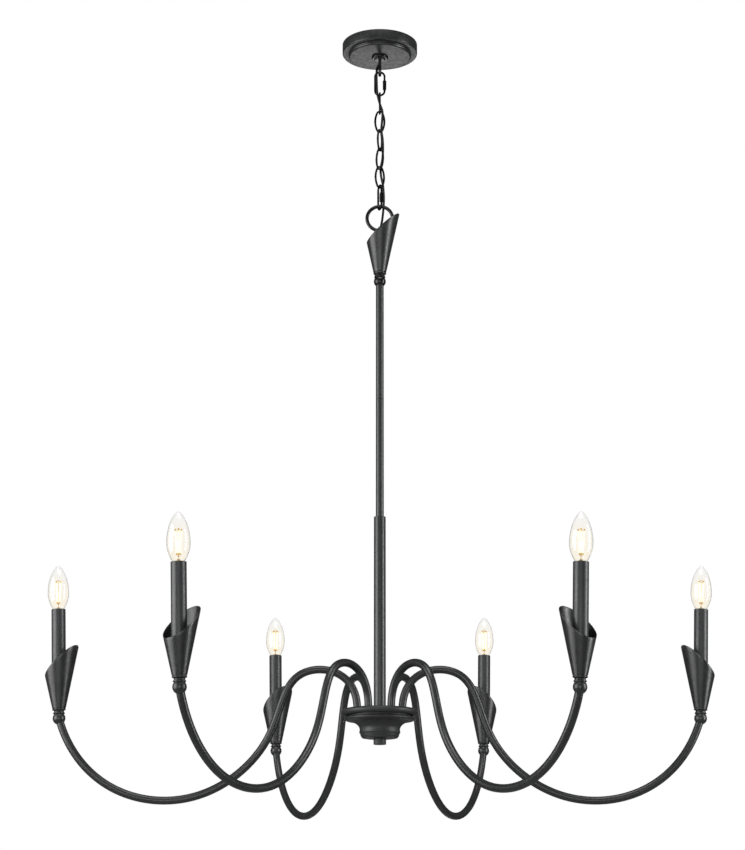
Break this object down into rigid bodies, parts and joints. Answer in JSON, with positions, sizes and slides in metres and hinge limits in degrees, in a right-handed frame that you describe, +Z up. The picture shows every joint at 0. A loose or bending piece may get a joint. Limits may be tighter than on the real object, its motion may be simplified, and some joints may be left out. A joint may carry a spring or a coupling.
{
  "type": "multi arm chandelier",
  "caption": "Hanging chandelier: S-curved tube arms around a turned hub carry slanted cone cups, candle sleeves and clear bulbs, below rods, a ring, a link chain and a round ceiling canopy.",
  "frame": {"origin": "the point where the fixture's axis meets the ceiling, in the middle of the canopy's top edge; the crossbar's top face lies in this plane", "axes": "+Z up towards the ceiling, +X to the right and -Y to the front of the pictured view"},
  "size_m": [1.0914, 0.9719, 1.3244],
  "materials": {
    "matte_black_steel": "matte black powder coat",
    "gloss_black_steel": "satin to glossy black enamel",
    "zinc_plated_steel": "zinc plated",
    "candle_sleeve": "matte black",
    "socket_resin": "moulded black resin",
    "cord_jacket": "black cord jacket",
    "clear_glass": "clear blown glass"
  },
  "bodies": {
    "ceiling_mount": {"ceiling_crossbar": "zinc_plated_steel", "mounting_nipple": "zinc_plated_steel", "collar_loop": "gloss_black_steel", "supply_cord": "cord_jacket"},
    "canopy_cover": {"canopy": "matte_black_steel"},
    "canopy_nut": {"collar_nut": "gloss_black_steel"},
    "upper_quick_link_body": {"upper_quick_link": "gloss_black_steel"},
    "upper_sleeve_body": {"upper_quick_link_sleeve": "gloss_black_steel"},
    "link_1_body": {"chain_link_1": "gloss_black_steel"},
    "link_2_body": {"chain_link_2": "gloss_black_steel"},
    "link_3_body": {"chain_link_3": "gloss_black_steel"},
    "link_4_body": {"chain_link_4": "gloss_black_steel"},
    "link_5_body": {"chain_link_5": "gloss_black_steel"},
    "lower_quick_link_body": {"lower_quick_link": "gloss_black_steel"},
    "lower_sleeve_body": {"lower_quick_link_sleeve": "gloss_black_steel"},
    "fixture": {"hanging_ring": "matte_black_steel", "top_cup": "matte_black_steel", "top_coupling": "matte_black_steel", "upper_rod": "matte_black_steel", "lower_rod": "matte_black_steel", "column": "matte_black_steel", "hub_plate": "matte_black_steel", "hub_bowl": "matte_black_steel", "finial": "matte_black_steel"},
    "arm_right_body": {"arm_right": "matte_black_steel", "coupling_right": "matte_black_steel", "cup_right": "matte_black_steel", "candle_sleeve_right": "candle_sleeve", "lamp_holder_right": "socket_resin"},
    "bulb_right_body": {"bulb_right": "clear_glass"},
    "arm_left_body": {"arm_left": "matte_black_steel", "coupling_left": "matte_black_steel", "cup_left": "matte_black_steel", "candle_sleeve_left": "candle_sleeve", "lamp_holder_left": "socket_resin"},
    "bulb_left_body": {"bulb_left": "clear_glass"},
    "arm_front_right_body": {"arm_front_right": "matte_black_steel", "coupling_front_right": "matte_black_steel", "cup_front_right": "matte_black_steel", "candle_sleeve_front_right": "candle_sleeve", "lamp_holder_front_right": "socket_resin"},
    "bulb_front_right_body": {"bulb_front_right": "clear_glass"},
    "arm_front_left_body": {"arm_front_left": "matte_black_steel", "coupling_front_left": "matte_black_steel", "cup_front_left": "matte_black_steel", "candle_sleeve_front_left": "candle_sleeve", "lamp_holder_front_left": "socket_resin"},
    "bulb_front_left_body": {"bulb_front_left": "clear_glass"},
    "arm_rear_right_body": {"arm_rear_right": "matte_black_steel", "coupling_rear_right": "matte_black_steel", "cup_rear_right": "matte_black_steel", "candle_sleeve_rear_right": "candle_sleeve", "lamp_holder_rear_right": "socket_resin"},
    "bulb_rear_right_body": {"bulb_rear_right": "clear_glass"},
    "arm_rear_left_body": {"arm_rear_left": "matte_black_steel", "coupling_rear_left": "matte_black_steel", "cup_rear_left": "matte_black_steel", "candle_sleeve_rear_left": "candle_sleeve", "lamp_holder_rear_left": "socket_resin"},
    "bulb_rear_left_body": {"bulb_rear_left": "clear_glass"}
  },
  "joints": [
    {"name": "canopy_slide", "type": "slide", "parent": "ceiling_mount", "child": "canopy_cover", "axis": [0, 0, 1], "range_m": [-0.026, 0]},
    {"name": "collar_nut_turn", "type": "hinge", "parent": "canopy_cover", "child": "canopy_nut", "pos_m": [0, 0, -0.0255], "axis": [0, 0, 1], "continuous": true},
    {"name": "upper_quick_link_swing", "type": "hinge", "parent": "ceiling_mount", "child": "upper_quick_link_body", "pos_m": [0, 0, -0.05675], "axis": [0, 1, 0], "range_deg": [-15, 15], "deforming": ["supply_cord"]},
    {"name": "link_1_swing", "type": "hinge", "parent": "upper_quick_link_body", "child": "link_1_body", "pos_m": [0, 0, -0.0956], "axis": [1, 0, 0], "range_deg": [-15, 15]},
    {"name": "link_2_swing", "type": "hinge", "parent": "link_1_body", "child": "link_2_body", "pos_m": [0, 0, -0.1301], "axis": [0, 1, 0], "range_deg": [-15, 15]},
    {"name": "link_3_swing", "type": "hinge", "parent": "link_2_body", "child": "link_3_body", "pos_m": [0, 0, -0.1646], "axis": [1, 0, 0], "range_deg": [-15, 15]},
    {"name": "link_4_swing", "type": "hinge", "parent": "link_3_body", "child": "link_4_body", "pos_m": [0, 0, -0.1991], "axis": [0.4384, 0.8988, 0], "range_deg": [-15, 15]},
    {"name": "link_5_swing", "type": "hinge", "parent": "link_4_body", "child": "link_5_body", "pos_m": [0, 0, -0.2336], "axis": [0.7193, -0.6947, 0], "range_deg": [-15, 15]},
    {"name": "lower_quick_link_swing", "type": "hinge", "parent": "link_5_body", "child": "lower_quick_link_body", "pos_m": [0, 0, -0.2681], "axis": [0.9135, 0.4067, 0], "range_deg": [-15, 15]},
    {"name": "fixture_swing", "type": "hinge", "parent": "lower_quick_link_body", "child": "fixture", "pos_m": [0, 0, -0.3079], "axis": [0.342, -0.9397, 0], "range_deg": [-15, 15]},
    {"name": "upper_sleeve_slide", "type": "slide", "parent": "upper_quick_link_body", "child": "upper_sleeve_body", "axis": [0, 0, 1], "range_m": [0, 0.007]},
    {"name": "lower_sleeve_slide", "type": "slide", "parent": "lower_quick_link_body", "child": "lower_sleeve_body", "axis": [0, 0, 1], "range_m": [0, 0.007]},
    {"name": "arm_right_swivel", "type": "hinge", "parent": "fixture", "child": "arm_right_body", "pos_m": [0.0366, 0, -1.169], "axis": [0, 0, 1], "range_deg": [-12, 12]},
    {"name": "arm_left_swivel", "type": "hinge", "parent": "fixture", "child": "arm_left_body", "pos_m": [-0.0366, 0, -1.169], "axis": [0, 0, 1], "range_deg": [-12, 12]},
    {"name": "arm_front_right_swivel", "type": "hinge", "parent": "fixture", "child": "arm_front_right_body", "pos_m": [0.0183, -0.0317, -1.169], "axis": [0, 0, 1], "range_deg": [-12, 12]},
    {"name": "arm_front_left_swivel", "type": "hinge", "parent": "fixture", "child": "arm_front_left_body", "pos_m": [-0.0183, -0.0317, -1.169], "axis": [0, 0, 1], "range_deg": [-12, 12]},
    {"name": "arm_rear_right_swivel", "type": "hinge", "parent": "fixture", "child": "arm_rear_right_body", "pos_m": [0.0183, 0.0317, -1.169], "axis": [0, 0, 1], "range_deg": [-12, 12]},
    {"name": "arm_rear_left_swivel", "type": "hinge", "parent": "fixture", "child": "arm_rear_left_body", "pos_m": [-0.0183, 0.0317, -1.169], "axis": [0, 0, 1], "range_deg": [-12, 12]},
    {"name": "bulb_right_lift", "type": "slide", "parent": "arm_right_body", "child": "bulb_right_body", "axis": [0.0447, 0, 0.999], "range_m": [0, 0.03]},
    {"name": "bulb_left_lift", "type": "slide", "parent": "arm_left_body", "child": "bulb_left_body", "axis": [-0.0447, 0, 0.999], "range_m": [0, 0.03]},
    {"name": "bulb_front_right_lift", "type": "slide", "parent": "arm_front_right_body", "child": "bulb_front_right_body", "axis": [0.0284, -0.0435, 0.9986], "range_m": [0, 0.03]},
    {"name": "bulb_front_left_lift", "type": "slide", "parent": "arm_front_left_body", "child": "bulb_front_left_body", "axis": [-0.0284, -0.0435, 0.9986], "range_m": [0, 0.03]},
    {"name": "bulb_rear_right_lift", "type": "slide", "parent": "arm_rear_right_body", "child": "bulb_rear_right_body", "axis": [0.0213, 0.0553, 0.9982], "range_m": [0, 0.03]},
    {"name": "bulb_rear_left_lift", "type": "slide", "parent": "arm_rear_left_body", "child": "bulb_rear_left_body", "axis": [-0.0213, 0.0553, 0.9982], "range_m": [0, 0.03]}
  ]
}
